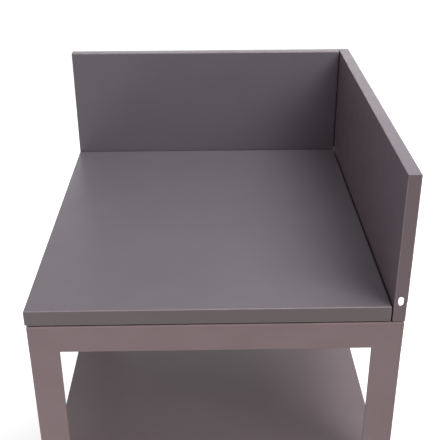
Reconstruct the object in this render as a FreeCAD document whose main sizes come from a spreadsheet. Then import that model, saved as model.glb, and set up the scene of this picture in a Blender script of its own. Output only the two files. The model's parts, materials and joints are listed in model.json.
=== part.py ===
import FreeCAD, Part
import os

import Sketcher
from FreeCAD import Placement, Rotation, Vector

# Outdoor kitchen corner module. A welded frame of angle section carries a folded worktop pan, two folded
# upstands that meet at the back right corner, and a shelf tray that sits inside the legs.
# Millimetres. The origin is on the floor under the middle of the footprint: +X right, +Y back, +Z up.

# Driving sizes: name, number, meaning
SIZES = (
    ("overall_width", 620, "overall width, left to right"),
    ("overall_depth", 700, "overall depth, front to back"),
    ("worktop_level", 900, "height of the worktop above the floor"),
    ("upstand_rise", 233, "height of the upstands above the worktop"),
    ("upstand_thickness", 22, "depth of the folded upstand panels"),
    ("upstand_gap", 3, "open joint between worktop and upstands"),
    ("panel_gap", 2.5, "open joint between the two upstands, kept by a spacer"),
    ("pan_depth", 28, "depth of the worktop's folded edge"),
    ("seat_gap", 3, "height of the shadow gap between frame and panels"),
    ("frame_inset", 1.5, "how far the frame stands back from the panels' outer faces"),
    ("angle_side", 50, "width of the frame angle's flanges"),
    ("angle_thickness", 4, "thickness of the frame angle"),
    ("angle_edge_radius", 1, "outer corner radius of the frame angle"),
    ("angle_root_radius", 1, "inner corner radius of the frame angle"),
    ("sheet_thickness", 1.5, "thickness of the folded sheet"),
    ("bend_radius", 2.2, "outer radius of the sheet's bends"),
    ("worktop_lip", 30, "width of the lip folded in under the worktop"),
    ("upstand_lip", 14, "width of the lip folded in at the back of an upstand"),
    ("lip_start", 8, "height above the worktop where the upstand's lip begins"),
    ("lip_setback", 1.1, "how far the upstand's cut edge stands back below its lip"),
    ("slot_width", 9, "width of the joining slot in an upstand's end"),
    ("slot_length", 16.5, "length of the joining slot"),
    ("slot_rise", 10, "height of the joining slot's centre above the worktop"),
    ("slot_inset", 10.5, "distance of the joining slot's centre from the upstand's face"),
    ("shelf_drop", 358, "depth of the shelf below the worktop"),
    ("shelf_depth", 30, "depth of the shelf's folded edge"),
    ("shelf_lip", 15, "width of the lip folded in under the shelf"),
    ("shelf_gap", 1, "space between the shelf and the legs, filled by spacers"),
    ("hat_width", 40, "width of a stiffening channel's crown"),
    ("hat_depth", 18, "depth of a stiffening channel"),
    ("hat_foot", 15, "width of a stiffening channel's welded foot"),
    ("hat_end_gap", 12, "space between a stiffening channel's end and the folded edge"),
    ("hat_offset", 130, "distance of the worktop's channels from its middle"),
    ("bolt_radius", 3, "radius of the bolts' shanks"),
    ("bolt_clearance", 0.3, "radial play of a bolt in a drilled hole"),
    ("thread_clearance", 0.08, "radial play of a thread in its nut"),
    ("bolt_head_width", 10, "width across the flats of bolt heads and nuts"),
    ("bolt_head_height", 4, "height of a bolt's head"),
    ("nut_height", 5, "height of a nut"),
    ("washer_radius", 6, "radius of a washer"),
    ("wide_washer_radius", 8, "radius of the washer that covers the joining slot"),
    ("washer_thickness", 1.6, "thickness of a washer"),
    ("bolt_tail", 3.9, "thread that stands past a nut"),
    ("spacer_radius", 8, "radius of the spacers between frame and panels"),
    ("worktop_bolt_inset", 18, "distance of the worktop's bolts from its edge"),
    ("worktop_bolt_spacing", 360, "distance between the two worktop bolts in one rail"),
    ("upstand_bolt_inset", 13.5, "distance of an upstand's bolts from its outer side"),
    ("upstand_bolt_spacing", 220, "distance between neighbouring upstand bolts"),
    ("shelf_bolt_inset", 28, "distance of a shelf bolt from the leg's outer corner"),
    ("shelf_bolt_setback", 0.5, "how far a shelf bolt's end stays inside the leg's outer face"),
    ("plate_thickness", 8, "thickness of the plate in a leg's foot"),
    ("plate_corner_radius", 2, "corner radius of the plate in a leg's foot"),
    ("lock_nut_width", 17, "width across the flats of a foot's lock nut"),
    ("lock_nut_height", 5, "height of a foot's lock nut"),
    ("stem_radius", 5, "radius of a foot's threaded stem"),
    ("stem_length", 50, "length of a foot's stem above its head"),
    ("stem_chamfer", 1, "chamfer at the top of a foot's stem"),
    ("stem_head_radius", 8, "radius of the stem's head inside the cup"),
    ("stem_head_height", 4, "height of the stem's head"),
    ("cup_radius", 25, "radius of a foot's cup at its rim"),
    ("cup_rim", 4, "height of the cup's upright rim"),
    ("cup_top_radius", 13, "radius of the cup's flat top"),
    ("cup_height", 18, "height of the cup's top above the floor"),
    ("sole_radius", 22, "radius of a foot's rubber sole"),
    ("sole_thickness", 4, "thickness of the rubber sole"),
    ("sole_proud", 1.2, "how far the sole stands out of the cup"),
    ("foot_gap", 0.3, "play between the pieces of a foot"),
)

doc = FreeCAD.newDocument("corner_module")
sheet = doc.addObject("Spreadsheet::Sheet", "Size")
for row, (alias, number, meaning) in enumerate(SIZES, start=1):
    sheet.set(f"A{row}", meaning)
    sheet.set(f"B{row}", str(number))
    sheet.setAlias(f"B{row}", alias)
doc.recompute()

# Levels and lines that several pieces share, as expressions over the driving sizes
HALF_WIDTH = "(Size.overall_width / 2)"
HALF_DEPTH = "(Size.overall_depth / 2)"
WORKTOP_HALF_X = "((Size.overall_width - Size.upstand_thickness - Size.upstand_gap) / 2)"
WORKTOP_HALF_Y = "((Size.overall_depth - Size.upstand_thickness - Size.upstand_gap) / 2)"
WORKTOP_X = f"({WORKTOP_HALF_X} - {HALF_WIDTH})"
WORKTOP_Y = f"({WORKTOP_HALF_Y} - {HALF_DEPTH})"
PAN_BOTTOM = "(Size.worktop_level - Size.pan_depth)"
FRAME_TOP = f"({PAN_BOTTOM} - Size.seat_gap)"
FRAME_X = f"({HALF_WIDTH} - Size.frame_inset)"
FRAME_Y = f"({HALF_DEPTH} - Size.frame_inset)"
RAIL_BOTTOM = f"({FRAME_TOP} - Size.angle_side)"
LOCK_NUT_BOTTOM = "(Size.cup_height + Size.foot_gap)"
LEG_BOTTOM = f"({LOCK_NUT_BOTTOM} + Size.lock_nut_height)"
PLATE_HALF = "((Size.angle_side - Size.angle_thickness) / 2)"
FOOT_X = f"({FRAME_X} - Size.angle_thickness - {PLATE_HALF})"
FOOT_Y = f"({FRAME_Y} - Size.angle_thickness - {PLATE_HALF})"
SHELF_TOP = "(Size.worktop_level - Size.shelf_drop)"
SHELF_X = f"({FRAME_X} - Size.angle_thickness - Size.shelf_gap)"
SHELF_Y = f"({FRAME_Y} - Size.angle_thickness - Size.shelf_gap)"
SHELF_BOLT_LEVEL = f"({SHELF_TOP} - Size.shelf_depth / 2)"
SHELF_BOLT_X = f"({FRAME_X} - Size.shelf_bolt_inset)"
SHELF_BOLT_Y = f"({FRAME_Y} - Size.shelf_bolt_inset)"
UPSTAND_HEIGHT = "(Size.pan_depth + Size.upstand_rise)"
SLOT_LEVEL = "(Size.pan_depth + Size.slot_rise)"
SLOT_TO_BACK = "(Size.upstand_thickness - Size.slot_inset)"
BOLT_HOLE = "(Size.bolt_radius + Size.bolt_clearance)"
NUT_BORE = "(Size.bolt_radius + Size.thread_clearance)"
STEM_BORE = "(Size.stem_radius + Size.thread_clearance)"

UPRIGHT = Rotation()
ALONG_X = Rotation(Vector(0, 1, 0), 90)
QUARTER_TURN = Rotation(Vector(0, 0, 1), 90)
HALF_TURN = Rotation(Vector(0, 0, 1), 180)
QUARTER_BACK = QUARTER_TURN.inverted()
ALONG_Y = QUARTER_TURN.multiply(ALONG_X)
NEAR = 0.001

nodes = []


def value(expression):
    """The number that an expression over the driving sizes comes to."""
    return float(sheet.evalExpression(expression))


def place(thing, x="0", y="0", z="0", turn=UPRIGHT):
    """Stand an object at a point given by three expressions, turned as a whole."""
    thing.Placement = Placement(Vector(), turn)
    for axis, expression in (("x", x), ("y", y), ("z", z)):
        thing.setExpression(f"Placement.Base.{axis}", expression)


def new_body(label):
    """An empty body that becomes one piece of the object."""
    body = doc.addObject("PartDesign::Body", label)
    nodes.append(body)
    return body


def sketch_on(body, role, name, lift="0"):
    """A sketch on one of the body's own planes, lifted along the plane's normal."""
    sketch = body.newObject("Sketcher::SketchObject", name)
    plane = next(feature for feature in body.Origin.OriginFeatures if feature.Role == role)
    sketch.AttachmentSupport = [(plane, "")]
    sketch.MapMode = "FlatFace"
    sketch.setExpression("AttachmentOffset.Base.z", lift)
    return sketch


def drive(sketch, rule, expression):
    """Add a dimension to a sketch and bind it to an expression."""
    row = sketch.addConstraint(rule)
    sketch.setExpression(f"Constraints[{row}]", expression)


def pin_point(sketch, geometry, point, x, y):
    """Hold one point of a drawn line or curve at two expressions from the sketch's origin."""
    for kind, expression in (("DistanceX", x), ("DistanceY", y)):
        drive(sketch, Sketcher.Constraint(kind, -1, 1, geometry, point, value(expression)), expression)


def polygon(sketch, corners):
    """A closed outline of straight lines through corners given as pairs of expressions."""
    spots = [Vector(value(x), value(y), 0) for x, y in corners]
    first = sketch.GeometryCount
    for start, end in zip(spots, spots[1:] + spots[:1]):
        sketch.addGeometry(Part.LineSegment(start, end))
    for number, (x, y) in enumerate(corners):
        line = first + number
        line_before = first + (number - 1) % len(corners)
        sketch.addConstraint(Sketcher.Constraint("Coincident", line_before, 2, line, 1))
        pin_point(sketch, line, 1, x, y)


def rectangle(sketch, left, right, low, high):
    """A closed rectangle between four expressions."""
    polygon(sketch, [(left, low), (right, low), (right, high), (left, high)])


def centred(sketch, half_x, half_y):
    """A closed rectangle about the sketch's origin."""
    rectangle(sketch, f"-{half_x}", half_x, f"-{half_y}", half_y)


def circle(sketch, x, y, radius):
    """A full circle whose centre and radius are expressions."""
    centre = Vector(value(x), value(y), 0)
    ring = sketch.addGeometry(Part.Circle(centre, Vector(0, 0, 1), value(radius)))
    pin_point(sketch, ring, 3, x, y)
    drive(sketch, Sketcher.Constraint("Radius", ring, value(radius)), radius)


def upright_slot(sketch, x, y, width, length):
    """A slot with round ends: two half circles joined by two lines tangent to both."""
    radius = f"({width} / 2)"
    reach = f"(({length} - {width}) / 2)"
    top = f"({y} + {reach})"
    bottom = f"({y} - {reach})"
    half_turn = Part.Circle().parameter(Vector(-1, 0, 0))
    arcs = []
    for level, start in ((top, 0), (bottom, half_turn)):
        round_end = Part.Circle(Vector(value(x), value(level), 0), Vector(0, 0, 1), value(radius))
        arcs.append(sketch.addGeometry(Part.ArcOfCircle(round_end, start, start + half_turn)))
    upper, lower = arcs
    joins = []
    for side in (-1, 1):
        edge = value(x) + side * value(radius)
        line = Part.LineSegment(Vector(edge, value(top), 0), Vector(edge, value(bottom), 0))
        joins.append(sketch.addGeometry(line))
    left, right = joins
    for first, first_end, second, second_end in (
        (upper, 2, left, 1), (left, 2, lower, 1), (lower, 2, right, 2), (right, 1, upper, 1),
    ):
        sketch.addConstraint(Sketcher.Constraint("Tangent", first, first_end, second, second_end))
    sketch.addConstraint(Sketcher.Constraint("Equal", upper, lower))
    pin_point(sketch, upper, 3, x, top)
    pin_point(sketch, lower, 3, x, bottom)
    drive(sketch, Sketcher.Constraint("Radius", upper, value(radius)), radius)


def pad(body, sketch, length, reverse=False, both_ways=False):
    """Material added from a sketch along its normal, against it, or half to each side."""
    feature = body.newObject("PartDesign::Pad", f"{sketch.Name}_pad")
    feature.Profile = sketch
    feature.setExpression("Length", length)
    feature.Reversed = reverse
    if both_ways:
        feature.SideType = "Symmetric"


def cut(body, sketch, depth, reverse=False):
    """Material cut from a sketch against its normal, or along it when reversed."""
    take_away(body, sketch, reverse, depth=depth)


def cut_through(body, sketch):
    """Material cut from a sketch right through the body, to both sides."""
    take_away(body, sketch, False, depth=None)


def take_away(body, sketch, reverse, depth):
    """One cut, which has to leave less material than there was."""
    doc.recompute()
    volume_before = body.Shape.Volume
    feature = body.newObject("PartDesign::Pocket", f"{sketch.Name}_cut")
    feature.Profile = sketch
    feature.Reversed = reverse
    if depth is None:
        feature.Type = "ThroughAll"
        feature.SideType = "Symmetric"
    else:
        feature.setExpression("Length", depth)
    doc.recompute()
    if body.Shape.Volume > volume_before - NEAR:
        raise ValueError(f"{body.Label}: {sketch.Name} takes nothing away")


def round_edges(body, radius, wanted):
    """Round the edges whose bounding box passes a test."""
    doc.recompute()
    base = body.Tip
    boxes = [edge.BoundBox for edge in base.Shape.Edges]
    edges = [f"Edge{number}" for number, box in enumerate(boxes, start=1) if wanted(box)]
    feature = body.newObject("PartDesign::Fillet", f"{body.Name}_round")
    feature.Base = (base, edges)
    feature.setExpression("Radius", radius)


def hollow_out(body, open_side):
    """Leave a skin of sheet metal, open at the faces whose bounding box passes a test."""
    doc.recompute()
    base = body.Tip
    boxes = [face.BoundBox for face in base.Shape.Faces]
    faces = [f"Face{number}" for number, box in enumerate(boxes, start=1) if open_side(box)]
    feature = body.newObject("PartDesign::Thickness", f"{body.Name}_skin")
    feature.Base = (base, faces)
    feature.setExpression("Value", "Size.sheet_thickness")
    feature.Reversed = True


def revolve(body, half_section):
    """Turn a half section, drawn in the XZ plane, about local Z."""
    sketch = sketch_on(body, "XZ_Plane", "half_section")
    polygon(sketch, half_section)
    feature = body.newObject("PartDesign::Revolution", f"{body.Name}_turned")
    feature.Profile = sketch
    feature.ReferenceAxis = (sketch, ["V_Axis"])


def angle_bar(label, length):
    """An angle that runs up local Z from the origin. Its outer corner is on the Z axis, and its two flanges
    point along +X and +Y.
    """
    body = new_body(label)
    section = sketch_on(body, "XY_Plane", "angle_section")
    side = "Size.angle_side"
    thick = "Size.angle_thickness"
    polygon(section, [("0", "0"), (side, "0"), (side, thick), (thick, thick), (thick, side), ("0", side)])
    pad(body, section, length)
    half_length = value(length) / 2

    def long_edge_at(spot):
        return lambda box: box.ZLength > half_length and max(abs(box.XMin - spot), abs(box.YMin - spot)) < NEAR

    round_edges(body, "Size.angle_edge_radius", long_edge_at(0))
    round_edges(body, "Size.angle_root_radius", long_edge_at(value(thick)))
    return body


def mitre(body, end, inward):
    """Cut an angle's end at 45 degrees, shorter the further the +Y flange reaches from the corner."""
    corner = sketch_on(body, "YZ_Plane", "mitre")
    short_end = f"({end} + {inward} * Size.angle_side)"
    polygon(corner, [("0", end), ("Size.angle_side", end), ("Size.angle_side", short_end)])
    cut_through(body, corner)


# Bolts through the top rails: rail, distance along it from the middle, distance in from the outer side
BESIDE_EDGE = "Size.worktop_bolt_inset"
PAST_UPSTAND = "(Size.upstand_thickness + Size.upstand_gap + Size.worktop_bolt_inset)"
WORKTOP_BOLTS = [
    (rail, f"({side} * Size.worktop_bolt_spacing / 2)", inset)
    for rail, inset in (
        ("front", BESIDE_EDGE), ("left", BESIDE_EDGE), ("rear", PAST_UPSTAND), ("right", PAST_UPSTAND),
    )
    for side in (-1, 1)
]
UPSTAND_BOLTS = [
    (rail, f"({step} * Size.upstand_bolt_spacing)", "Size.upstand_bolt_inset")
    for rail in ("rear", "right")
    for step in (-1, 0, 1)
]


def floor_points(bolts):
    """The bolts' places as X and Y expressions."""
    points = []
    for rail, along, inset in bolts:
        if rail in ("front", "rear"):
            side = -1 if rail == "front" else 1
            points.append((along, f"({side} * ({HALF_DEPTH} - {inset}))"))
        else:
            side = -1 if rail == "left" else 1
            points.append((f"({side} * ({HALF_WIDTH} - {inset}))", along))
    return points


# Legs: angles with their outer corners outwards, butted under the rails, tapped for the shelf's bolts
CORNERS = (
    ("front_left", -1, -1, UPRIGHT),
    ("front_right", 1, -1, QUARTER_TURN),
    ("rear_right", 1, 1, HALF_TURN),
    ("rear_left", -1, 1, QUARTER_BACK),
)
for corner_name, x_side, y_side, turn in CORNERS:
    leg = angle_bar(f"{corner_name}_leg", f"({RAIL_BOTTOM} - {LEG_BOTTOM})")
    for plane_role in ("XZ_Plane", "YZ_Plane"):
        hole = sketch_on(leg, plane_role, "shelf_bolt_hole")
        circle(hole, "Size.shelf_bolt_inset", f"({SHELF_BOLT_LEVEL} - {LEG_BOTTOM})", NUT_BORE)
        cut_through(leg, hole)
    place(leg, f"{x_side} * {FRAME_X}", f"{y_side} * {FRAME_Y}", LEG_BOTTOM, turn)

# Top rails: a mitred ring of angles, one flange down the outer side and one flat under the panels
for rail_name, half_length, x_side, y_side, turn, heading in (
    ("front", FRAME_X, -1, -1, UPRIGHT, 1),
    ("right", FRAME_Y, 1, -1, QUARTER_TURN, 1),
    ("rear", FRAME_X, 1, 1, HALF_TURN, -1),
    ("left", FRAME_Y, -1, 1, QUARTER_BACK, -1),
):
    rail_length = f"(2 * {half_length})"
    rail = angle_bar(f"{rail_name}_top_rail", rail_length)
    mitre(rail, "0", 1)
    mitre(rail, rail_length, -1)
    drill = sketch_on(rail, "YZ_Plane", "bolt_holes")
    for bolt_rail, along, inset in WORKTOP_BOLTS + UPSTAND_BOLTS:
        if bolt_rail == rail_name:
            circle(drill, f"({inset} - Size.frame_inset)", f"({half_length} + {heading} * {along})", BOLT_HOLE)
    cut_through(rail, drill)
    place(rail, f"{x_side} * {FRAME_X}", f"{y_side} * {FRAME_Y}", FRAME_TOP, turn.multiply(ALONG_X))


def lipped_pan(label, half_x, half_y, depth, lip):
    """A pan folded from one sheet: every upper edge bent, every corner closed, and a lip turned in all round
    under the open side.
    """
    body = new_body(label)
    outline = sketch_on(body, "XY_Plane", "outline")
    centred(outline, half_x, half_y)
    pad(body, outline, depth)
    top = value(depth)
    round_edges(body, "Size.bend_radius", lambda box: box.ZMin > top - NEAR)
    hollow_out(body, lambda box: box.ZMax < NEAR)
    lips = sketch_on(body, "XY_Plane", "lips")
    centred(lips, half_x, half_y)
    centred(lips, f"({half_x} - {lip})", f"({half_y} - {lip})")
    pad(body, lips, "Size.sheet_thickness")
    reach_x = value(half_x)
    reach_y = value(half_y)

    def lip_bend(box):
        on_side = min(abs(box.XMin), abs(box.XMax)) > reach_x - NEAR
        on_end = min(abs(box.YMin), abs(box.YMax)) > reach_y - NEAR
        return box.ZMax < NEAR and (on_side or on_end)

    round_edges(body, "Size.bend_radius", lip_bend)
    return body


def hat_channel(label, length, x, y, ceiling):
    """A pressed channel of hat section, front to back, with both feet flat against the sheet above."""
    body = new_body(label)
    section = sketch_on(body, "XZ_Plane", "hat_section")
    web = "(Size.hat_width / 2)"
    foot_edge = f"({web} + Size.hat_foot)"
    inside = f"({web} - Size.sheet_thickness)"
    right_half = [
        (inside, "-(Size.hat_depth - Size.sheet_thickness)"),
        (inside, "0"),
        (foot_edge, "0"),
        (foot_edge, "-Size.sheet_thickness"),
        (web, "-Size.sheet_thickness"),
        (web, "-Size.hat_depth"),
    ]
    left_half = [(f"-{across}", level) for across, level in reversed(right_half)]
    polygon(section, right_half + left_half)
    pad(body, section, length, both_ways=True)
    crown = -value("Size.hat_depth")
    half_web = value(web)
    round_edges(
        body,
        "Size.bend_radius",
        lambda box: box.ZMax < crown + NEAR and box.XLength < NEAR and abs(box.XMin) > half_web - NEAR,
    )
    place(body, x, y, ceiling)


# Worktop: a pan whose lips turn in over the rails, with two stiffening channels
worktop = lipped_pan("worktop", WORKTOP_HALF_X, WORKTOP_HALF_Y, "Size.pan_depth", "Size.worktop_lip")
lip_holes = sketch_on(worktop, "XY_Plane", "bolt_holes")
for bolt_x, bolt_y in floor_points(WORKTOP_BOLTS):
    circle(lip_holes, f"({bolt_x} - {WORKTOP_X})", f"({bolt_y} - {WORKTOP_Y})", BOLT_HOLE)
cut(worktop, lip_holes, "2 * Size.sheet_thickness", reverse=True)
place(worktop, WORKTOP_X, WORKTOP_Y, PAN_BOTTOM)
for side_name, side in (("left", -1), ("right", 1)):
    hat_channel(
        f"worktop_stiffener_{side_name}",
        f"(2 * ({WORKTOP_HALF_Y} - Size.sheet_thickness - Size.hat_end_gap))",
        f"({WORKTOP_X} + {side} * Size.hat_offset)",
        WORKTOP_Y,
        "(Size.worktop_level - Size.sheet_thickness)",
    )


def upstand(label, length, middle):
    """An upright folded panel. Its face is at local Y = 0, its hollow back opens towards +Y, and it stands
    on its bottom edge along local X. Lips stiffen the back's top and ends, and each end has a slot. Its
    bolts are set out from the module's middle.
    """
    body = new_body(label)
    face = sketch_on(body, "XZ_Plane", "face")
    rectangle(face, "0", length, "0", UPSTAND_HEIGHT)
    pad(body, face, "Size.upstand_thickness", reverse=True)
    round_edges(body, "Size.bend_radius", lambda box: box.YMax < NEAR)
    back = value("Size.upstand_thickness")
    hollow_out(body, lambda box: box.YMin > back - NEAR)

    lip_foot = "(Size.pan_depth + Size.lip_start)"
    inner_left = "Size.upstand_lip"
    inner_right = f"({length} - Size.upstand_lip)"
    inner_top = f"({UPSTAND_HEIGHT} - Size.upstand_lip)"
    lip = sketch_on(body, "XZ_Plane", "lip", lift="-(Size.upstand_thickness - Size.sheet_thickness)")
    polygon(
        lip,
        [
            ("0", lip_foot), ("0", UPSTAND_HEIGHT), (length, UPSTAND_HEIGHT), (length, lip_foot),
            (inner_right, lip_foot), (inner_right, inner_top), (inner_left, inner_top), (inner_left, lip_foot),
        ],
    )
    pad(body, lip, "Size.sheet_thickness", reverse=True)
    cut_edge = sketch_on(body, "XZ_Plane", "cut_edge", lift="-Size.upstand_thickness")
    rectangle(cut_edge, "0", length, "0", lip_foot)
    cut(body, cut_edge, "Size.lip_setback", reverse=True)
    top = value(UPSTAND_HEIGHT)
    far_end = value(length)

    def lip_bend(box):
        at_back = box.YMin > back - NEAR
        along_top = box.ZMin > top - NEAR
        along_end = box.XMax < NEAR or box.XMin > far_end - NEAR
        return at_back and (along_top or along_end)

    round_edges(body, "Size.bend_radius", lip_bend)
    slots = sketch_on(body, "YZ_Plane", "end_slot")
    upright_slot(slots, "Size.slot_inset", SLOT_LEVEL, "Size.slot_width", "Size.slot_length")
    cut_through(body, slots)
    foot_holes = sketch_on(body, "XY_Plane", "bolt_holes")
    for step in (-1, 0, 1):
        along = f"({middle} + {step} * Size.upstand_bolt_spacing)"
        circle(foot_holes, along, "(Size.upstand_thickness - Size.upstand_bolt_inset)", BOLT_HOLE)
    cut(body, foot_holes, "2 * Size.sheet_thickness", reverse=True)
    return body


# Upstands: the right one runs the full depth, the back one ends against its face
right_upstand = upstand("right_upstand", "Size.overall_depth", HALF_DEPTH)
corner_hole = sketch_on(right_upstand, "XZ_Plane", "corner_hole")
circle(corner_hole, SLOT_TO_BACK, SLOT_LEVEL, BOLT_HOLE)
cut(right_upstand, corner_hole, "2 * Size.sheet_thickness")
place(right_upstand, f"({HALF_WIDTH} - Size.upstand_thickness)", HALF_DEPTH, PAN_BOTTOM, QUARTER_BACK)
back_length = "(Size.overall_width - Size.upstand_thickness - Size.panel_gap)"
back_upstand = upstand("back_upstand", back_length, HALF_WIDTH)
place(back_upstand, f"-{HALF_WIDTH}", f"({HALF_DEPTH} - Size.upstand_thickness)", PAN_BOTTOM)

# Shelf: a tray that fits inside the four legs, with one stiffening channel
shelf = lipped_pan("shelf", SHELF_X, SHELF_Y, "Size.shelf_depth", "Size.shelf_lip")
for plane_role, line in (("YZ_Plane", SHELF_BOLT_Y), ("XZ_Plane", SHELF_BOLT_X)):
    wall_holes = sketch_on(shelf, plane_role, "wall_holes")
    for side in (-1, 1):
        circle(wall_holes, f"{side} * {line}", "Size.shelf_depth / 2", BOLT_HOLE)
    cut_through(shelf, wall_holes)
place(shelf, z=f"({SHELF_TOP} - Size.shelf_depth)")
hat_channel(
    "shelf_stiffener",
    f"(2 * ({SHELF_Y} - Size.sheet_thickness - Size.hat_end_gap))",
    "0",
    "0",
    f"({SHELF_TOP} - Size.sheet_thickness)",
)


def hexagon(name, width, height):
    """A hexagonal block standing on the local origin."""
    block = doc.addObject("Part::Prism", name)
    block.Polygon = 6
    block.setExpression("Circumradius", f"{width} / sqrt(3)")
    block.setExpression("Height", height)
    return block


def round_bar(name, radius, height):
    """A round bar standing on the local origin."""
    bar = doc.addObject("Part::Cylinder", name)
    bar.setExpression("Radius", radius)
    bar.setExpression("Height", height)
    return bar


def bored(name, blank, radius, height):
    """A blank with a hole through its middle: a nut, washer or spacer."""
    piece = doc.addObject("Part::Cut", name)
    piece.Base = blank
    piece.Tool = round_bar(f"{name}_bore", radius, height)
    return piece


def hex_nut(name, width, height, bore):
    """A hexagonal nut standing on the local origin."""
    return bored(name, hexagon(f"{name}_blank", width, height), bore, height)


def ring(name, radius, height):
    """A washer or spacer standing on the local origin."""
    return bored(name, round_bar(f"{name}_blank", radius, height), BOLT_HOLE, height)


def hex_bolt(name, length):
    """A hexagon bolt: the head's underside is at the local origin and the shank runs up local Z."""
    head = hexagon(f"{name}_head", "Size.bolt_head_width", "Size.bolt_head_height")
    place(head, z="-Size.bolt_head_height")
    bolt = doc.addObject("Part::Fuse", name)
    bolt.Base = head
    bolt.Tool = round_bar(f"{name}_shank", "Size.bolt_radius", length)
    return bolt


def group(label, pattern, spots):
    """Copies of one small piece, kept apart as separate solids: spots are X, Y, Z and a turn."""
    copies = []
    for number, (x, y, z, turn) in enumerate(spots, start=1):
        copy = doc.addObject("App::Link", f"{label}_{number}")
        copy.LinkedObject = pattern
        place(copy, x, y, z, turn)
        copies.append(copy)
    together = doc.addObject("Part::Compound", label)
    together.Links = copies
    nodes.append(together)


# Fasteners between rails and panels: bolt, washer, spacer and a nut welded inside the folded edge
rail_bolt = hex_bolt(
    "rail_bolt",
    "(Size.washer_thickness + Size.angle_thickness + Size.seat_gap + Size.sheet_thickness"
    " + Size.nut_height + Size.bolt_tail)",
)
washer = ring("washer", "Size.washer_radius", "Size.washer_thickness")
spacer = ring("spacer", "Size.spacer_radius", "Size.seat_gap")
nut = hex_nut("nut", "Size.bolt_head_width", "Size.nut_height", NUT_BORE)
WASHER_LEVEL = f"({FRAME_TOP} - Size.angle_thickness - Size.washer_thickness)"
for panel_name, bolts in (("worktop", WORKTOP_BOLTS), ("upstand", UPSTAND_BOLTS)):
    for piece_name, pattern, level in (
        ("bolts", rail_bolt, WASHER_LEVEL),
        ("washers", washer, WASHER_LEVEL),
        ("spacers", spacer, FRAME_TOP),
        ("weld_nuts", nut, f"({PAN_BOTTOM} + Size.sheet_thickness)"),
    ):
        spots = [(x, y, level, UPRIGHT) for x, y in floor_points(bolts)]
        group(f"{panel_name}_{piece_name}", pattern, spots)

# Corner joint: one bolt from the back upstand's end slot, through a spacer, into the right upstand
corner_bolt = hex_bolt(
    "corner_bolt",
    "(3 * Size.washer_thickness + 2 * Size.sheet_thickness + Size.panel_gap + Size.nut_height)",
)
wide_washer = ring("wide_washer", "Size.wide_washer_radius", "Size.washer_thickness")
corner_spacer = ring("corner_spacer", "Size.spacer_radius", "Size.panel_gap")
CORNER_LEVEL = "(Size.worktop_level + Size.slot_rise)"
END_FACE = f"({HALF_WIDTH} - Size.upstand_thickness - Size.panel_gap)"
END_WALL = f"({END_FACE} - Size.sheet_thickness)"
HEAD_SEAT = f"({END_WALL} - Size.washer_thickness)"
FACE_WALL = f"({HALF_WIDTH} - Size.upstand_thickness + Size.sheet_thickness)"
NUT_SEAT = f"({FACE_WALL} + Size.washer_thickness)"
CORNER_LINE = f"({HALF_DEPTH} - {SLOT_TO_BACK})"
for node_name, pattern, start in (
    ("corner_joint_bolt", corner_bolt, HEAD_SEAT),
    ("corner_joint_slot_washer", wide_washer, HEAD_SEAT),
    ("corner_joint_spacer", corner_spacer, END_FACE),
    ("corner_joint_washer", washer, FACE_WALL),
    ("corner_joint_nut", nut, NUT_SEAT),
):
    group(node_name, pattern, [(start, CORNER_LINE, CORNER_LEVEL, ALONG_X)])

# Shelf fixing: two bolts at each leg, from inside the tray through a spacer into the tapped leg
shelf_bolt = hex_bolt(
    "shelf_bolt",
    "(Size.washer_thickness + Size.sheet_thickness + Size.shelf_gap + Size.angle_thickness"
    " - Size.shelf_bolt_setback)",
)
shelf_spacer = ring("shelf_spacer", "Size.washer_radius", "Size.shelf_gap")
WASHER_SEAT = "(Size.sheet_thickness + Size.washer_thickness)"
for piece_name, pattern, inwards in (
    ("bolts", shelf_bolt, WASHER_SEAT),
    ("washers", washer, WASHER_SEAT),
    ("spacers", shelf_spacer, "0"),
):
    spots = []
    for corner_name, x_side, y_side, turn in CORNERS:
        outward_x = ALONG_X if x_side > 0 else HALF_TURN.multiply(ALONG_X)
        outward_y = ALONG_Y if y_side > 0 else HALF_TURN.multiply(ALONG_Y)
        side_seat = f"{x_side} * ({SHELF_X} - {inwards})"
        end_seat = f"{y_side} * ({SHELF_Y} - {inwards})"
        spots.append((side_seat, f"{y_side} * {SHELF_BOLT_Y}", SHELF_BOLT_LEVEL, outward_x))
        spots.append((f"{x_side} * {SHELF_BOLT_X}", end_seat, SHELF_BOLT_LEVEL, outward_y))
    group(f"shelf_{piece_name}", pattern, spots)


def foot_plate(label, x, y):
    """The plate welded into a leg's foot, with a threaded bore for the foot's stem."""
    body = new_body(label)
    outline = sketch_on(body, "XY_Plane", "outline")
    centred(outline, PLATE_HALF, PLATE_HALF)
    pad(body, outline, "Size.plate_thickness")
    round_edges(body, "Size.plate_corner_radius", lambda box: box.XLength < NEAR and box.YLength < NEAR)
    bore = sketch_on(body, "XY_Plane", "bore")
    circle(bore, "0", "0", STEM_BORE)
    cut_through(body, bore)
    place(body, x, y, LEG_BOTTOM)


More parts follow.
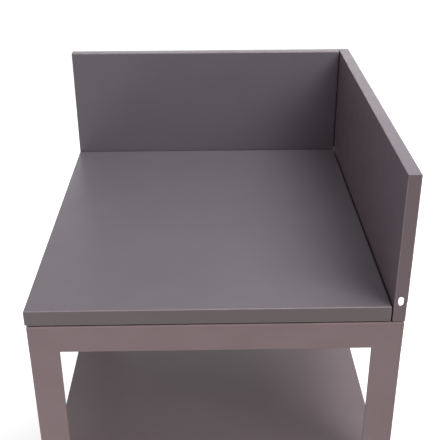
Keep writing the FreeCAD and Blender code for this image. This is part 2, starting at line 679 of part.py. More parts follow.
# Levelling foot: the stem's head is trapped between cup and sole, with a little play all round
HEAD_BOTTOM = "(Size.sole_thickness + Size.foot_gap)"
HEAD_TOP = f"({HEAD_BOTTOM} + Size.stem_head_height)"
STEM_TOP = f"({HEAD_TOP} + Size.stem_length)"
HOLLOW_TOP = f"({HEAD_TOP} + Size.foot_gap)"
HOLLOW_RADIUS = "(Size.stem_head_radius + Size.foot_gap)"
RECESS_RADIUS = "(Size.sole_radius + Size.foot_gap)"
FOOT_SECTIONS = {
    "cup": [
        (RECESS_RADIUS, "Size.sole_proud"),
        ("Size.cup_radius", "Size.sole_proud"),
        ("Size.cup_radius", "(Size.sole_proud + Size.cup_rim)"),
        ("Size.cup_top_radius", "Size.cup_height"),
        (STEM_BORE, "Size.cup_height"),
        (STEM_BORE, HOLLOW_TOP),
        (HOLLOW_RADIUS, HOLLOW_TOP),
        (HOLLOW_RADIUS, "Size.sole_thickness"),
        (RECESS_RADIUS, "Size.sole_thickness"),
    ],
    "sole": [
        ("0", "0"),
        ("(Size.sole_radius - Size.sole_proud)", "0"),
        ("Size.sole_radius", "Size.sole_proud"),
        ("Size.sole_radius", "Size.sole_thickness"),
        ("0", "Size.sole_thickness"),
    ],
    "stem": [
        ("0", HEAD_BOTTOM),
        ("Size.stem_head_radius", HEAD_BOTTOM),
        ("Size.stem_head_radius", HEAD_TOP),
        ("Size.stem_radius", HEAD_TOP),
        ("Size.stem_radius", f"({STEM_TOP} - Size.stem_chamfer)"),
        ("(Size.stem_radius - Size.stem_chamfer)", STEM_TOP),
        ("0", STEM_TOP),
    ],
}
lock_nut = hex_nut("lock_nut", "Size.lock_nut_width", "Size.lock_nut_height", STEM_BORE)
lock_nut_spots = []
for corner_name, x_side, y_side, turn in CORNERS:
    foot_x = f"{x_side} * {FOOT_X}"
    foot_y = f"{y_side} * {FOOT_Y}"
    foot_plate(f"{corner_name}_foot_plate", foot_x, foot_y)
    for piece_name, half_section in FOOT_SECTIONS.items():
        foot_piece = new_body(f"{corner_name}_foot_{piece_name}")
        revolve(foot_piece, half_section)
        place(foot_piece, foot_x, foot_y)
    lock_nut_spots.append((foot_x, foot_y, LOCK_NUT_BOTTOM, UPRIGHT))
group("foot_lock_nuts", lock_nut, lock_nut_spots)

# Every object has to be sound before any file is written
doc.recompute()
for thing in doc.Objects:
    if {"Invalid", "Error"} & set(thing.State):
        raise RuntimeError(f"{thing.Label}: {thing.State}")
for node in nodes:
    if node.Shape.isNull() or not node.Shape.isValid():
        raise RuntimeError(f"{node.Label} has no sound shape")
os.makedirs("parts", exist_ok=True)
for node in nodes:
    node.Shape.exportStep(os.path.join("parts", f"{node.Label}.step"))
    print(f"{node.Label}: {len(node.Shape.Solids)} solid(s), {node.Shape.Volume / 1000:.1f} cm3")
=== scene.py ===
# Outdoor kitchen corner module: coats, fasteners, welds, a black strip in the corner joint, floor, light and
# camera.
# Metres, in the frame of the imported model: +X right, +Y back, +Z up, floor at zero.
import json
import math

import bmesh
import bpy
from mathutils import Matrix, Vector


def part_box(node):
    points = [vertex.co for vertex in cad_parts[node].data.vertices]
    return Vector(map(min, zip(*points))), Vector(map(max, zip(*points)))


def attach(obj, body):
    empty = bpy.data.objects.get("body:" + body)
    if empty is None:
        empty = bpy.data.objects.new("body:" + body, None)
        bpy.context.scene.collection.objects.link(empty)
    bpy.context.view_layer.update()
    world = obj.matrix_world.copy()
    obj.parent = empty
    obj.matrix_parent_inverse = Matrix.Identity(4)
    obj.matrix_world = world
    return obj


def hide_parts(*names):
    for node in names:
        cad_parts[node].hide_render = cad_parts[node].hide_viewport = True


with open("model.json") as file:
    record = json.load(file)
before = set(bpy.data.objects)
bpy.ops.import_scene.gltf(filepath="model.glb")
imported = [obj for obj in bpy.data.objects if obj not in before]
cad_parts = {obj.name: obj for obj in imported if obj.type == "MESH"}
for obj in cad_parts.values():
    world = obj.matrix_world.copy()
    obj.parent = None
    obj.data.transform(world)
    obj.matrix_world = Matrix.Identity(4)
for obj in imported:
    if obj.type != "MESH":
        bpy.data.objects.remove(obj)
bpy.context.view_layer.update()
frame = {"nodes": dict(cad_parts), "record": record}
nodes = frame["nodes"]

MM = 0.001
RIGHT = Vector((1, 0, 0))
BACK = Vector((0, 1, 0))
UP = Vector((0, 0, 1))
AXES = (RIGHT, BACK, UP)
CORNERS = ("front_left", "front_right", "rear_left", "rear_right")
SHEET_THICKNESS = 1.5 * MM
ANGLE_SIDE = 50 * MM
ANGLE_THICKNESS = 4 * MM


# Materials

# Most values of a noise texture lie between these two
NOISE_LOW = 0.3
NOISE_HIGH = 0.7


class Coat:
    """A node material with a principled shader, and short ways to add nodes to it."""

    def __init__(self, name):
        self.material = bpy.data.materials.new(name)
        self.material.use_nodes = True
        self.tree = self.material.node_tree
        self.surface = self.tree.nodes["Principled BSDF"]
        self.place = self.add("ShaderNodeTexCoord").outputs["Object"]

    def put(self, node, socket, value):
        """Sets a socket to a number, vector or colour, or links another node's output to it."""
        if isinstance(value, bpy.types.NodeSocket):
            self.tree.links.new(value, node.inputs[socket])
        else:
            node.inputs[socket].default_value = value

    def add(self, kind, sockets=None, **settings):
        """Adds a node with the given sockets and settings."""
        made = self.tree.nodes.new(kind)
        for name, value in settings.items():
            setattr(made, name, value)
        for socket, value in (sockets or {}).items():
            self.put(made, socket, value)
        return made

    def combine(self, operation, first, second):
        """The result of a math operation on two values."""
        return self.add("ShaderNodeMath", {0: first, 1: second}, operation=operation).outputs[0]

    def noise(self, size, detail=2.0):
        """Cloudy variation whose lumps are about size across, from 0 to 1."""
        made = self.add("ShaderNodeTexNoise", {"Vector": self.place, "Scale": 1 / size, "Detail": detail})
        return made.outputs["Fac"]

    def span(self, value, low, high, start=NOISE_LOW, end=NOISE_HIGH):
        """Maps value from start..end to low..high."""
        made = self.add("ShaderNodeMapRange", {"Value": value, "From Min": start, "From Max": end,
                                               "To Min": low, "To Max": high})
        return made.outputs["Result"]

    def sum_of(self, first, share, second):
        """first times share, plus second times the rest."""
        part = self.combine("MULTIPLY", first, share)
        made = self.add("ShaderNodeMath", {0: second, 1: 1 - share, 2: part}, operation="MULTIPLY_ADD")
        return made.outputs[0]

    def ramp(self, value, colours):
        """Colours spread evenly over the values that noise mostly takes."""
        made = self.add("ShaderNodeValToRGB", {"Fac": value})
        while len(made.color_ramp.elements) < len(colours):
            made.color_ramp.elements.new(0.5)
        for index, colour in enumerate(colours):
            share = index / (len(colours) - 1)
            made.color_ramp.elements[index].position = NOISE_LOW + (NOISE_HIGH - NOISE_LOW) * share
            made.color_ramp.elements[index].color = (*colour, 1)
        return made.outputs["Color"]

    def normal(self):
        """The surface's own normal."""
        return self.add("ShaderNodeNewGeometry").outputs["Normal"]

    def rounded(self, radius):
        """Normals as if sharp edges were rounded to radius."""
        return self.add("ShaderNodeBevel", {"Radius": radius}, samples=4).outputs["Normal"]

    def edge(self, radius):
        """1 on the object's edges, falling to 0 at radius from them."""
        made = self.add("ShaderNodeVectorMath", {0: self.rounded(radius), 1: self.normal()},
                        operation="DOT_PRODUCT")
        return self.span(made.outputs["Value"], 1.0, 0.0, 0.8, 0.995)

    def top_edge(self, radius):
        """As edge, but only along the object's upper edges."""
        rounded = self.add("ShaderNodeSeparateXYZ", {"Vector": self.rounded(radius)})
        lifted = self.span(rounded.outputs["Z"], 0.0, 1.0, 0.1, 0.4)
        return self.combine("MULTIPLY", self.edge(radius), lifted)

    def facing(self, axis):
        """1 on faces square to axis, 0 on the others."""
        along = self.add("ShaderNodeVectorMath", {0: self.normal(), 1: axis}, operation="DOT_PRODUCT")
        size = self.add("ShaderNodeMath", {0: along.outputs["Value"]}, operation="ABSOLUTE")
        return self.span(size.outputs[0], 0.0, 1.0, 0.4, 0.8)

    def slant(self):
        """1 where the surface turns from one flat side to the next, as on a bend, 0 on the flat sides."""
        sizes = self.add("ShaderNodeVectorMath", {0: self.normal()}, operation="ABSOLUTE").outputs["Vector"]
        x, y, z = self.add("ShaderNodeSeparateXYZ", {"Vector": sizes}).outputs
        largest = self.combine("MAXIMUM", self.combine("MAXIMUM", x, y), z)
        return self.span(largest, 1.0, 0.0, 0.85, 0.99)

    def blend(self, factor, first, second):
        """Goes from the first colour to the second as factor goes from 0 to 1."""
        made = self.add("ShaderNodeMix", {0: factor, 6: first, 7: second}, data_type="RGBA")
        return made.outputs[2]

    def bump(self, height, depth, normal):
        """Relief of the given depth on top of a normal."""
        made = self.add("ShaderNodeBump", {"Height": height, "Distance": depth, "Normal": normal})
        return made.outputs["Normal"]

    def finish(self, **sockets):
        """Sets the shader's sockets, with _ for a space in their names, and returns the material."""
        for name, value in sockets.items():
            self.put(self.surface, name.replace("_", " "), value)
        return self.material


def shades(colour, spread):
    """A darker, the plain and a lighter tone of a colour."""
    return [tuple(c * f for c in colour) for f in (1 - spread, 1, 1 + spread)]


WEAR_AND_HIGHLIGHT_PATCH = 25 * MM


def in_patches(coat, where, least, most):
    """How strongly the edge tone shows at the places that where marks: from least to most, varying in
    patches.
    """
    return coat.combine("MULTIPLY", where, coat.span(coat.noise(WEAR_AND_HIGHLIGHT_PATCH), least, most))


def wear_and_highlight_on_edges(coat):
    """Where the edge tone shows on all edges: a little wear, and a painted highlight."""
    return in_patches(coat, coat.edge(1.2 * MM), 0.15, 0.6)


def highlight_on_tops(coat):
    """Where a painted highlight shows along upper edges, in patches."""
    return in_patches(coat, coat.top_edge(4.5 * MM), 0.5, 0.9)


def highlight_on_bends(coat):
    """Where a painted highlight shows on edges and bends, in patches."""
    return in_patches(coat, coat.combine("MAXIMUM", coat.edge(2.2 * MM), coat.slant()), 0.5, 0.9)


def powder_coat(name, colour, edge_tone, spread, grain, depth, roughness, wear_and_highlight, faces=()):
    """Powder coat on metal: fine grain in relief, faint clouds of tone, and the edge tone on edges and bends:
    a painted highlight, with a little wear on most of the frame's edges.
    Faces gives painted light and shade: the tone of faces square to an axis, where it differs from the plain
    colour by how light falls on them."""
    coat = Coat(name)
    fine = coat.noise(grain)
    clouds = coat.noise(90 * MM, 5)
    mottle = coat.sum_of(clouds, 0.6, fine)
    tone = coat.ramp(mottle, shades(colour, spread))
    # Painted light and shade: faces square to an axis take a lighter or darker tone by how light falls on
    # them
    for axis, painted_face_tone in faces:
        tone = coat.blend(coat.facing(axis), tone, coat.ramp(mottle, shades(painted_face_tone, spread)))
    gloss = coat.span(coat.noise(40 * MM, 4), roughness - 0.025, roughness + 0.025)
    relief = coat.bump(fine, depth, coat.rounded(0.4 * MM))
    return coat.finish(Base_Color=coat.blend(wear_and_highlight(coat), tone, (*edge_tone, 1)), Roughness=gloss,
                       Normal=relief, Specular_IOR_Level=0.4)


def zinc_plate(name):
    """Zinc plated steel with a mottled, slightly yellow bloom."""
    coat = Coat(name)
    tone = coat.ramp(coat.noise(4 * MM, 4), [(0.50, 0.50, 0.47), (0.60, 0.61, 0.61), (0.68, 0.69, 0.70)])
    gloss = coat.span(coat.noise(1.5 * MM, 3), 0.26, 0.46)
    relief = coat.bump(coat.noise(0.5 * MM), 0.008 * MM, coat.rounded(0.25 * MM))
    return coat.finish(Base_Color=tone, Metallic=1.0, Roughness=gloss, Normal=relief)


def dark_polymer(name, colour, grain, depth, roughness):
    """Black rubber or moulded plastic with a fine matt grain and dusty tone."""
    coat = Coat(name)
    fine = coat.noise(grain, 3)
    tone = coat.ramp(coat.sum_of(coat.noise(15 * MM, 4), 0.6, fine), shades(colour, 0.3))
    gloss = coat.span(coat.noise(6 * MM, 3), roughness - 0.08, roughness + 0.08)
    relief = coat.bump(fine, depth, coat.rounded(0.5 * MM))
    return coat.finish(Base_Color=tone, Roughness=gloss, Normal=relief)


PANEL_TONE = (0.148, 0.122, 0.143)
PANEL_HIGHLIGHT_TONE = (0.32, 0.26, 0.27)
FRAME_TONE = (0.235, 0.166, 0.176)
FRAME_WEAR_AND_HIGHLIGHT_TONE = (0.30, 0.23, 0.24)
RAIL_HIGHLIGHT_TONE = (0.60, 0.46, 0.47)


def panel_coat(name, colour=PANEL_TONE, faces=()):
    """The panels' smooth satin coat, with a painted highlight on its edges and bends."""
    return powder_coat(name, colour, PANEL_HIGHLIGHT_TONE, spread=0.05, grain=2.2 * MM, depth=0.010 * MM,
                       roughness=0.50, wear_and_highlight=highlight_on_bends, faces=faces)


def frame_coat(name, edge_tone, wear_and_highlight):
    """The frame's matt coat with a fine texture."""
    return powder_coat(name, FRAME_TONE, edge_tone, spread=0.11, grain=0.7 * MM, depth=0.035 * MM,
                       roughness=0.58, wear_and_highlight=wear_and_highlight)


finishes = {
    "panel_coat": panel_coat("satin_coat"),
    "frame_coat": frame_coat("matt_coat", FRAME_WEAR_AND_HIGHLIGHT_TONE, wear_and_highlight_on_edges),
    "zinc_steel": zinc_plate("zinc_plating"),
    "spacer_rubber": dark_polymer("black_spacer", (0.020, 0.020, 0.021), 0.6 * MM, 0.02 * MM, 0.72),
    "foot_plastic": dark_polymer("moulded_black", (0.026, 0.026, 0.028), 0.8 * MM, 0.03 * MM, 0.50),
    "sole_rubber": dark_polymer("black_sole", (0.030, 0.030, 0.030), 0.7 * MM, 0.04 * MM, 0.82),
}
# Painted light and shade: these pieces take their own lighter or darker copies of the satin coat, and some of
# their faces their own tone, by how light falls on them
painted_light_finishes = {
    "worktop": panel_coat("worktop_painted_light_coat", (0.128, 0.103, 0.106), [(UP, (0.151, 0.131, 0.152))]),
    "back_upstand": panel_coat("back_painted_light_coat", faces=[(BACK, (0.135, 0.116, 0.137))]),
    "right_upstand": panel_coat("right_painted_light_coat", faces=[(RIGHT, (0.134, 0.097, 0.119)),
                                                     (BACK, (0.153, 0.109, 0.115))]),
    "shelf": panel_coat("shelf_painted_light_coat", (0.191, 0.145, 0.163)),
}
# Painted highlight: the rails' copy of the frame coat has a pale line along their upper edges
rail_highlight_coat = frame_coat("rail_highlight_coat", RAIL_HIGHLIGHT_TONE, highlight_on_tops)
for side in ("front", "rear", "left", "right"):
    painted_light_finishes[side + "_top_rail"] = rail_highlight_coat

for subpart in frame["record"]["subparts"]:
    node = subpart["node"]
    mesh = nodes[node].data
    mesh.materials.clear()
    mesh.materials.append(painted_light_finishes.get(node) or finishes[subpart["material_slot"]])


# Ways to make pieces

def piece(name, form, slot_name, body="root", stands_for=()):
    """Turns a bmesh into a piece that takes a record slot's finish and rides on a body."""
    bmesh.ops.recalc_face_normals(form, faces=form.faces)
    mesh = bpy.data.meshes.new(name)
    form.to_mesh(mesh)
    form.free()
    mesh.materials.append(finishes[slot_name])
    made = bpy.data.objects.new(name, mesh)
    bpy.context.scene.collection.objects.link(made)
    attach(made, body)
    if stands_for:
        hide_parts(*stands_for)


def solids(node):
    """Lowest and highest corner of each separate solid in a CAD node."""
    form = bmesh.new()
    form.from_mesh(nodes[node].data)
    bmesh.ops.remove_doubles(form, verts=form.verts, dist=1e-6)
    left = set(form.verts)
    found = []
    for first in form.verts:
        if first not in left:
            continue
        left.remove(first)
        group = [first]
        for vert in group:
            for edge in vert.link_edges:
                other = edge.other_vert(vert)
                if other in left:
                    left.remove(other)
                    group.append(other)
        found.append((Vector([min(v.co[i] for v in group) for i in range(3)]),
                      Vector([max(v.co[i] for v in group) for i in range(3)])))
    form.free()
    return found


def pointing(origin, direction):
    """A place at origin whose own Z points along direction."""
    return Matrix.Translation(origin) @ UP.rotation_difference(direction).to_matrix().to_4x4()


def loft(form, rings, place, smooth=True):
    """Joins closed rings of points with faces, at a place given as a matrix. Returns the rings' vertices."""
    made = [[form.verts.new(place @ point) for point in ring] for ring in rings]
    for lower, upper in zip(made, made[1:]):
        for index in range(len(lower)):
            after = (index + 1) % len(lower)
            face = form.faces.new((lower[index], lower[after], upper[after], upper[index]))
            face.smooth = smooth
    return made


def circle(radius, level, count):
    """A ring of count points round the Z axis."""
    angles = [math.tau * index / count for index in range(count)]
    return [Vector((radius * math.cos(a), radius * math.sin(a), level)) for a in angles]


def turned(profile, count):
    """Rings for a turned form, from pairs of radius and level."""
    return [circle(radius, level, count) for radius, level in profile]


def hexagon(flats, level, count, chamfer=None, rise=0.0):
    """A ring on a hexagon's sides. With a chamfer circle, its points leave the level along a 30 degree cone
    that starts at that circle, upwards for a rise of 1 and downwards for -1."""
    ring = []
    for index in range(count):
        angle = math.tau * index / count
        radius = flats / 2 / math.cos((angle + math.pi / 6) % (math.pi / 3) - math.pi / 6)
        away = (radius - chamfer) * math.tan(math.pi / 6) * rise if chamfer else 0.0
        ring.append(Vector((radius * math.cos(angle), radius * math.sin(angle), level + away)))
    return ring


RINGS_PER_TURN = 6
THREAD_DEPTH = 0.6
FLANK_SLOPE = 2.6
CREST_FLAT = 0.15


def thread(major, pitch, start, end, count):
    """Rings of a screw thread from start to end; its depth is a share of the pitch."""
    turns = (end - start) / pitch
    rings = []
    for step in range(int(turns * RINGS_PER_TURN) + 1):
        level = start + pitch * step / RINGS_PER_TURN
        ring = []
        for index in range(count):
            phase = (step / RINGS_PER_TURN - index / count) % 1
            sunk = min(1.0, max(0.0, FLANK_SLOPE * abs(phase - 0.5) - CREST_FLAT))
            radius = major - THREAD_DEPTH * pitch * sunk
            angle = math.tau * index / count
            ring.append(Vector((radius * math.cos(angle), radius * math.sin(angle), level)))
        rings.append(ring)
    return rings


# Fasteners: threads, chamfers and countersinks on the bolts, nuts and foot stems

POINT = 0.0001 * MM
HEX_STEPS = 36
BOLT_STEPS = 18
BOLT_RADIUS = 3 * MM
BOLT_PITCH = 1.0 * MM
BOLT_FLATS = 10 * MM
BOLT_HEAD = 4 * MM
BOLT_CROWN_RADIUS = 4.6 * MM
BOLT_COLLAR = 0.35 * MM
BOLT_NECK_RADIUS = 2.7 * MM
BOLT_RUN_OUT = 0.3 * MM
BOLT_TIP = 0.8 * MM
BOLT_TIP_RADIUS = 2.1 * MM
THREADED_LENGTHS = {
    "worktop_bolts": 9.5 * MM,
    "upstand_bolts": 9.5 * MM,
    "shelf_bolts": 5 * MM,
    "corner_joint_bolt": 7 * MM,
}
BOLT_NUT_BORE = 3.05 * MM
STEM_NUT_BORE = 5.05 * MM
NUT_COUNTERSINK = 0.5 * MM
NUT_CROWN_SHARE = 0.47
NUT_BORES = {
    "worktop_weld_nuts": BOLT_NUT_BORE,
    "upstand_weld_nuts": BOLT_NUT_BORE,
    "foot_lock_nuts": STEM_NUT_BORE,
    "corner_joint_nut": BOLT_NUT_BORE,
}


def hex_bolt(form, place, length, threaded):
    """A bolt whose head's bearing face is at zero, its head below that and its shank above."""
    crown = BOLT_CROWN_RADIUS
    head = turned([(POINT, -BOLT_HEAD), (crown, -BOLT_HEAD)], HEX_STEPS)
    head += [hexagon(BOLT_FLATS, -BOLT_HEAD, HEX_STEPS, crown, 1)]
    head += [hexagon(BOLT_FLATS, -BOLT_COLLAR, HEX_STEPS)]
    head += turned([(crown, -BOLT_COLLAR), (crown, 0), (BOLT_NECK_RADIUS, 0)], HEX_STEPS)
    loft(form, head, place, smooth=False)
    plain = length - threaded
    shank = turned([(BOLT_RADIUS, 0), (BOLT_RADIUS, plain)], BOLT_STEPS)
    shank += thread(BOLT_RADIUS, BOLT_PITCH, plain + BOLT_RUN_OUT, length - BOLT_TIP, BOLT_STEPS)
    shank += turned([(BOLT_TIP_RADIUS, length)], BOLT_STEPS)
    made = loft(form, shank, place)
    form.faces.new(made[-1])


def hex_nut(form, place, flats, height, bore):
    """A nut from zero up to its height, chamfered outside and countersunk at both ends."""
    crown = NUT_CROWN_SHARE * flats
    sink = bore + NUT_COUNTERSINK
    rings = turned([(bore, NUT_COUNTERSINK), (sink, 0), (crown, 0)], HEX_STEPS)
    rings += [hexagon(flats, 0, HEX_STEPS, crown, 1), hexagon(flats, height, HEX_STEPS, crown, -1)]
    rings += turned([(crown, height), (sink, height)], HEX_STEPS)
    rings += turned([(bore, height - NUT_COUNTERSINK), (bore, NUT_COUNTERSINK)], HEX_STEPS)
    loft(form, rings, place, smooth=False)


def bolt_axis(low, high):
    """The axis that a bolt lies along: its box's other two sides are the head's, over flats and corners."""
    head_sides = (BOLT_FLATS, BOLT_FLATS / math.cos(math.pi / 6))
    for axis in range(3):
        if all(abs(high[axis] - low[axis] - side) > 0.01 * MM for side in head_sides):
            return axis


for name, threaded in THREADED_LENGTHS.items():
    form = bmesh.new()
    for low, high in solids(name):
        axis = bolt_axis(low, high)
        middle = (low + high) / 2
        extent = high[axis] - low[axis]
        inward = AXES[axis]
        if name == "shelf_bolts" and middle[axis] < 0:
            inward = -inward
        head_end = middle - inward * (extent / 2 - BOLT_HEAD)
        hex_bolt(form, pointing(head_end, inward), extent - BOLT_HEAD, threaded)
    piece(name + "_cut", form, "zinc_steel", stands_for=[name])

for name, bore in NUT_BORES.items():
    axis = 0 if name == "corner_joint_nut" else 2
    form = bmesh.new()
    for low, high in solids(name):
        base = (low + high) / 2
        base[axis] = low[axis]
        hex_nut(form, pointing(base, AXES[axis]), high.y - low.y, high[axis] - low[axis], bore)
    piece(name + "_cut", form, "zinc_steel", stands_for=[name])

STEM_STEPS = 28
STEM_RADIUS = 5 * MM
STEM_PITCH = 1.5 * MM
STEM_NECK_RADIUS = 4.2 * MM
STEM_TIP = 1.2 * MM
STEM_TIP_RADIUS = 3.6 * MM
STEM_HEAD_RADIUS = 8 * MM
STEM_HEAD_HEIGHT = 4 * MM
STEM_HEAD_CHAMFER = 0.4 * MM
STEM_THREAD_START = 6 * MM
rim = STEM_HEAD_RADIUS - STEM_HEAD_CHAMFER
stem_head = [(POINT, 0), (rim, 0), (STEM_HEAD_RADIUS, STEM_HEAD_CHAMFER),
             (STEM_HEAD_RADIUS, STEM_HEAD_HEIGHT - STEM_HEAD_CHAMFER), (rim, STEM_HEAD_HEIGHT),
             (STEM_NECK_RADIUS, STEM_HEAD_HEIGHT)]
for corner in CORNERS:
    low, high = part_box(corner + "_foot_stem")
    middle = (low + high) / 2
    top = high.z - low.z
    rings = turned(stem_head, STEM_STEPS)
    rings += thread(STEM_RADIUS, STEM_PITCH, STEM_THREAD_START, top - STEM_TIP, STEM_STEPS)
    rings += turned([(STEM_TIP_RADIUS, top)], STEM_STEPS)
    form = bmesh.new()
    made = loft(form, rings, Matrix.Translation((middle.x, middle.y, low.z)))
    form.faces.new(made[-1])
    piece(corner + "_stem_thread", form, "zinc_steel", corner + "_stem", [corner + "_foot_stem"])


# Welds: beads where the frame's angles and foot plates meet, and spots on the stiffening channels

RIPPLE = 3.2 * MM
ROWS_PER_RIPPLE = 6
RIPPLE_SHARE = 0.1
RIPPLE_LEAN = 0.8 * MM
WANDER_SHARE = 0.07
TAPER_START = 0.35
TAPER_LENGTH = 2.6 * MM
# A bead's section at size 1: a quarter round in a corner, or a low arch over a seam
FILLET = [(math.cos(math.radians(a)), math.sin(math.radians(a))) for a in range(0, 91, 15)]
CAP = [(math.cos(math.radians(a)), 0.32 * math.sin(math.radians(a))) for a in range(0, 181, 20)]
FILLET_SIZE = 3.6 * MM
CAP_SIZE = 3.2 * MM
# How far beads reach from an angle's inner corner, and the gaps that they leave at their ends
WELD_REACH = ANGLE_SIDE - ANGLE_THICKNESS
SEAM_START = 3 * MM
UPRIGHT_GAP = 2 * MM
DIAGONAL_START = 4 * MM
DIAGONAL_END = 2 * MM
PLATE_START = 4 * MM
PLATE_END = 3 * MM


def weld(form, start, end, across, outward, section, size):
    """A rippled bead from start to end, with its section in the plane of across and outward. Its size
    wanders a little and tapers at both ends."""
    run = end - start
    along = run.normalized()
    count = max(4, int(run.length / RIPPLE * ROWS_PER_RIPPLE))
    rows = []
    for step in range(count + 1):
        distance = run.length * step / count
        to_end = min(distance, run.length - distance)
        ripple = abs(math.sin(math.pi * distance / RIPPLE))
        # Two slow waves, whose phases come from the bead's place
        wander = math.sin(distance / MM * 0.61 + start.x * 90) * math.sin(distance / MM * 0.23 + start.y * 70)
        taper = min(1.0, TAPER_START + (1 - TAPER_START) * to_end / TAPER_LENGTH)
        scale = size * taper * (1 - RIPPLE_SHARE + RIPPLE_SHARE * ripple + WANDER_SHARE * wander)
        row = []
        for a, b in section:
            lean = min(RIPPLE_LEAN, to_end) * b
            point = start + along * (distance - lean) + across * a * scale + outward * b * scale
            row.append(form.verts.new(point))
        rows.append(row)
    for before, after in zip(rows, rows[1:]):
        for index in range(len(section) - 1):
            face = form.faces.new((before[index], before[index + 1], after[index + 1], after[index]))
            face.smooth = True
    for row in (rows[0], rows[-1]):
        form.faces.new(row)


rail_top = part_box("front_top_rail")[1].z
for corner in CORNERS:
    side = RIGHT if "left" in corner else -RIGHT
    depth = BACK if "front" in corner else -BACK
    diagonal = (side + depth).normalized()
    low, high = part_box(corner + "_leg")
    inner = Vector((low.x + ANGLE_THICKNESS if side.x > 0 else high.x - ANGLE_THICKNESS,
                    low.y + ANGLE_THICKNESS if depth.y > 0 else high.y - ANGLE_THICKNESS, 0))
    joint = inner + UP * high.z
    under = inner + UP * (rail_top - ANGLE_THICKNESS)
    form = bmesh.new()
    for along, outward in ((side, depth), (depth, side)):
        weld(form, joint + along * SEAM_START, joint + along * WELD_REACH, UP, outward, CAP, CAP_SIZE)
    weld(form, joint + UP * UPRIGHT_GAP, under - UP * UPRIGHT_GAP, side, depth, FILLET, FILLET_SIZE)
    diagonal_reach = WELD_REACH * math.sqrt(2) - DIAGONAL_END
    weld(form, under + diagonal * DIAGONAL_START, under + diagonal * diagonal_reach,
         diagonal.cross(UP), -UP, CAP, CAP_SIZE)
    piece(corner + "_frame_weld", form, "frame_coat")
    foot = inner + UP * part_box(corner + "_foot_plate")[1].z
    form = bmesh.new()
    for along, across in ((side, depth), (depth, side)):
        weld(form, foot + along * PLATE_START, foot + along * (WELD_REACH - PLATE_END), across, UP,
             FILLET, FILLET_SIZE)
    piece(corner + "_plate_weld", form, "frame_coat")

SPOT_STEPS = 16
SPOT_PITCH = 65 * MM
SPOT_END_SPACE = 15 * MM
SPOT_PROFILE = [(3.6 * MM, 0), (3.0 * MM, 0.22 * MM), (2.3 * MM, 0.24 * MM), (1.7 * MM, 0.06 * MM)]
CHANNEL_FOOT = 15 * MM
for name in ("worktop_stiffener_left", "worktop_stiffener_right", "shelf_stiffener"):
    low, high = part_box(name)
    along = 1 if high.y - low.y > high.x - low.x else 0
    across = 1 - along
    count = int((high[along] - low[along] - 2 * SPOT_END_SPACE) / SPOT_PITCH) + 1
    form = bmesh.new()
    for index in range(count):
        for row in (low[across] + CHANNEL_FOOT / 2, high[across] - CHANNEL_FOOT / 2):
            centre = Vector((0, 0, high.z - SHEET_THICKNESS))
            centre[along] = (high[along] + low[along]) / 2 + (index - (count - 1) / 2) * SPOT_PITCH
            centre[across] = row
            made = loft(form, turned(SPOT_PROFILE, SPOT_STEPS), pointing(centre, -UP))
            form.faces.new(made[-1])
    piece(name + "_spot_welds", form, "panel_coat")


# Corner joint: a black strip with a crowned face that fills the joint between the upstands above its spacer,
# which makes the joint a dark line

STRIP_DEPTH = 20 * MM
STRIP_CROWN = 0.5 * MM
STRIP_SETBACK = 1.0 * MM
STRIP_PLAY = 0.05 * MM
STRIP_BELOW_TOP = 1 * MM
CROWN_STEPS = 8

right_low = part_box("right_upstand")[0]
back_low, back_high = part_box("back_upstand")
strip_levels = (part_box("corner_joint_spacer")[1].z, back_high.z - STRIP_BELOW_TOP)
half_width = (right_low.x - back_high.x) / 2 - STRIP_PLAY
section = []
for step in range(CROWN_STEPS + 1):
    angle = math.pi * step / CROWN_STEPS
    section.append((half_width * math.cos(angle), STRIP_CROWN * (1 - math.sin(angle))))
section += [(-half_width, STRIP_DEPTH), (half_width, STRIP_DEPTH)]
middle = Vector(((right_low.x + back_high.x) / 2, back_low.y + STRIP_SETBACK, 0))
rings = [[middle + Vector((a, b, level)) for a, b in section] for level in strip_levels]
form = bmesh.new()
for ring in loft(form, rings, Matrix.Identity(4), smooth=False):
    form.faces.new(ring)
piece("corner_joint_black_strip", form, "spacer_rubber")


# Floor and surroundings: white to the camera and in reflections. The floor glows less near the object, a
# painted shade round it that keeps its shadow there, and more further out, a painted light that whitens its
# cast shadow.

AMBIENT = 0.20
# Painted shade near the object and painted light further out: the floor's glow rises with distance from its
# centre
GLOW_NEAR = 0.50
GLOW_FAR = 0.90
GLOW_START = 0.4
GLOW_END = 1.1
FLOOR_HALF_WIDTH = 30
FLOOR_DROP = 0.1 * MM


def seen_directly(tree):
    """1 for camera, glossy and transmission rays, otherwise 0."""
    path = tree.nodes.new("ShaderNodeLightPath")
    total = path.outputs["Is Camera Ray"]
    for kind in ("Is Glossy Ray", "Is Transmission Ray"):
        larger = tree.nodes.new("ShaderNodeMath")
        larger.operation = "MAXIMUM"
        tree.links.new(total, larger.inputs[0])
        tree.links.new(path.outputs[kind], larger.inputs[1])
        total = larger.outputs[0]
    return total


def scaled(tree, value, low, high, start=0.0, end=1.0):
    """Maps value from start..end smoothly to low..high."""
    made = tree.nodes.new("ShaderNodeMapRange")
    made.interpolation_type = "SMOOTHSTEP"
    made.inputs["From Min"].default_value = start
    made.inputs["From Max"].default_value = end
    made.inputs["To Min"].default_value = low
    made.inputs["To Max"].default_value = high
    tree.links.new(value, made.inputs["Value"])
    return made.outputs["Result"]


world = bpy.data.worlds.new("studio")
bpy.context.scene.world = world
world.use_nodes = True
background = world.node_tree.nodes["Background"]
background.inputs["Color"].default_value = (1, 1, 1, 1)
world.node_tree.links.new(scaled(world.node_tree, seen_directly(world.node_tree), AMBIENT, 1.0),
                          background.inputs["Strength"])

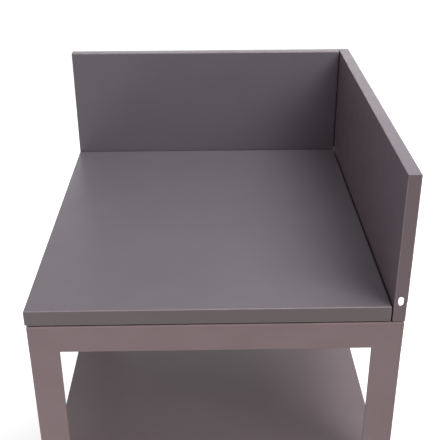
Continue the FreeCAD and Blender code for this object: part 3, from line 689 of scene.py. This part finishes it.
floor_coat = bpy.data.materials.new("floor")
floor_coat.use_nodes = True
tree = floor_coat.node_tree
tree.nodes.clear()
matt = tree.nodes.new("ShaderNodeBsdfDiffuse")
matt.inputs["Color"].default_value = (0.8, 0.8, 0.8, 1)
glow = tree.nodes.new("ShaderNodeEmission")
both = tree.nodes.new("ShaderNodeAddShader")
output = tree.nodes.new("ShaderNodeOutputMaterial")
radius = tree.nodes.new("ShaderNodeVectorMath")
radius.operation = "LENGTH"
tree.links.new(tree.nodes.new("ShaderNodeTexCoord").outputs["Object"], radius.inputs[0])
glow_level = scaled(tree, radius.outputs["Value"], GLOW_NEAR, GLOW_FAR, GLOW_START, GLOW_END)
strength = tree.nodes.new("ShaderNodeMath")
strength.operation = "MULTIPLY"
tree.links.new(glow_level, strength.inputs[0])
tree.links.new(seen_directly(tree), strength.inputs[1])
tree.links.new(strength.outputs[0], glow.inputs["Strength"])
tree.links.new(matt.outputs["BSDF"], both.inputs[0])
tree.links.new(glow.outputs["Emission"], both.inputs[1])
tree.links.new(both.outputs["Shader"], output.inputs["Surface"])

form = bmesh.new()
bmesh.ops.create_grid(form, x_segments=8, y_segments=8, size=FLOOR_HALF_WIDTH)
floor_mesh = bpy.data.meshes.new("floor")
form.to_mesh(floor_mesh)
form.free()
floor_mesh.materials.append(floor_coat)
floor = bpy.data.objects.new("floor", floor_mesh)
floor.location.z = -FLOOR_DROP
bpy.context.scene.collection.objects.link(floor)


# Lights: soft panels round the object, the strongest from the front right, and a low one behind for sheen

AIM = Vector((0, 0, 0.95))
LEFT_LEG = Vector((-0.3, -0.33, 0.65))
FAR = 3.2


def softbox(name, round_to_right, height_angle, distance, width, height, radiance, aim=AIM):
    """A soft panel of even brightness that the camera doesn't see. It is turned round the aim from the front
    to the right, and raised, by angles in degrees."""
    turn = math.radians(round_to_right)
    lift = math.radians(height_angle)
    away = Vector((math.cos(lift) * math.sin(turn), -math.cos(lift) * math.cos(turn), math.sin(lift)))
    data = bpy.data.lights.new(name, "AREA")
    data.shape = "RECTANGLE"
    data.size = width
    data.size_y = height
    data.energy = radiance * math.pi * width * height
    made = bpy.data.objects.new(name, data)
    made.location = aim + away * distance
    made.rotation_euler = (-away).to_track_quat("-Z", "Y").to_euler()
    made.visible_camera = False
    bpy.context.scene.collection.objects.link(made)


softbox("key", 42, 36, FAR, 1.5, 1.5, 6.0)
softbox("right_top", 80, 60, FAR, 1.8, 1.8, 3.9)
softbox("right_near", 70, 65, 1.4, 0.8, 0.8, 2.9)
softbox("left_fill", -55, 42, FAR, 2.0, 2.0, 0.9)
softbox("left_near", -22, -4, 0.9, 0.4, 0.8, 1.65, LEFT_LEG)
softbox("low_back", 174, 11, FAR, 2.6, 1.3, 2.8)


# Camera

camera_data = bpy.data.cameras.new("camera")
camera_data.sensor_width = 36
camera_data.lens = 66.182
camera_data.clip_start = 0.05
camera = bpy.data.objects.new("camera", camera_data)
camera.location = (-0.0092, -1.4438, 1.6212)
camera.rotation_euler = [math.radians(a) for a in (62.898, 0.238, -1.006)]
bpy.context.scene.collection.objects.link(camera)
bpy.context.scene.camera = camera
bpy.context.scene.view_settings.view_transform = "Standard"
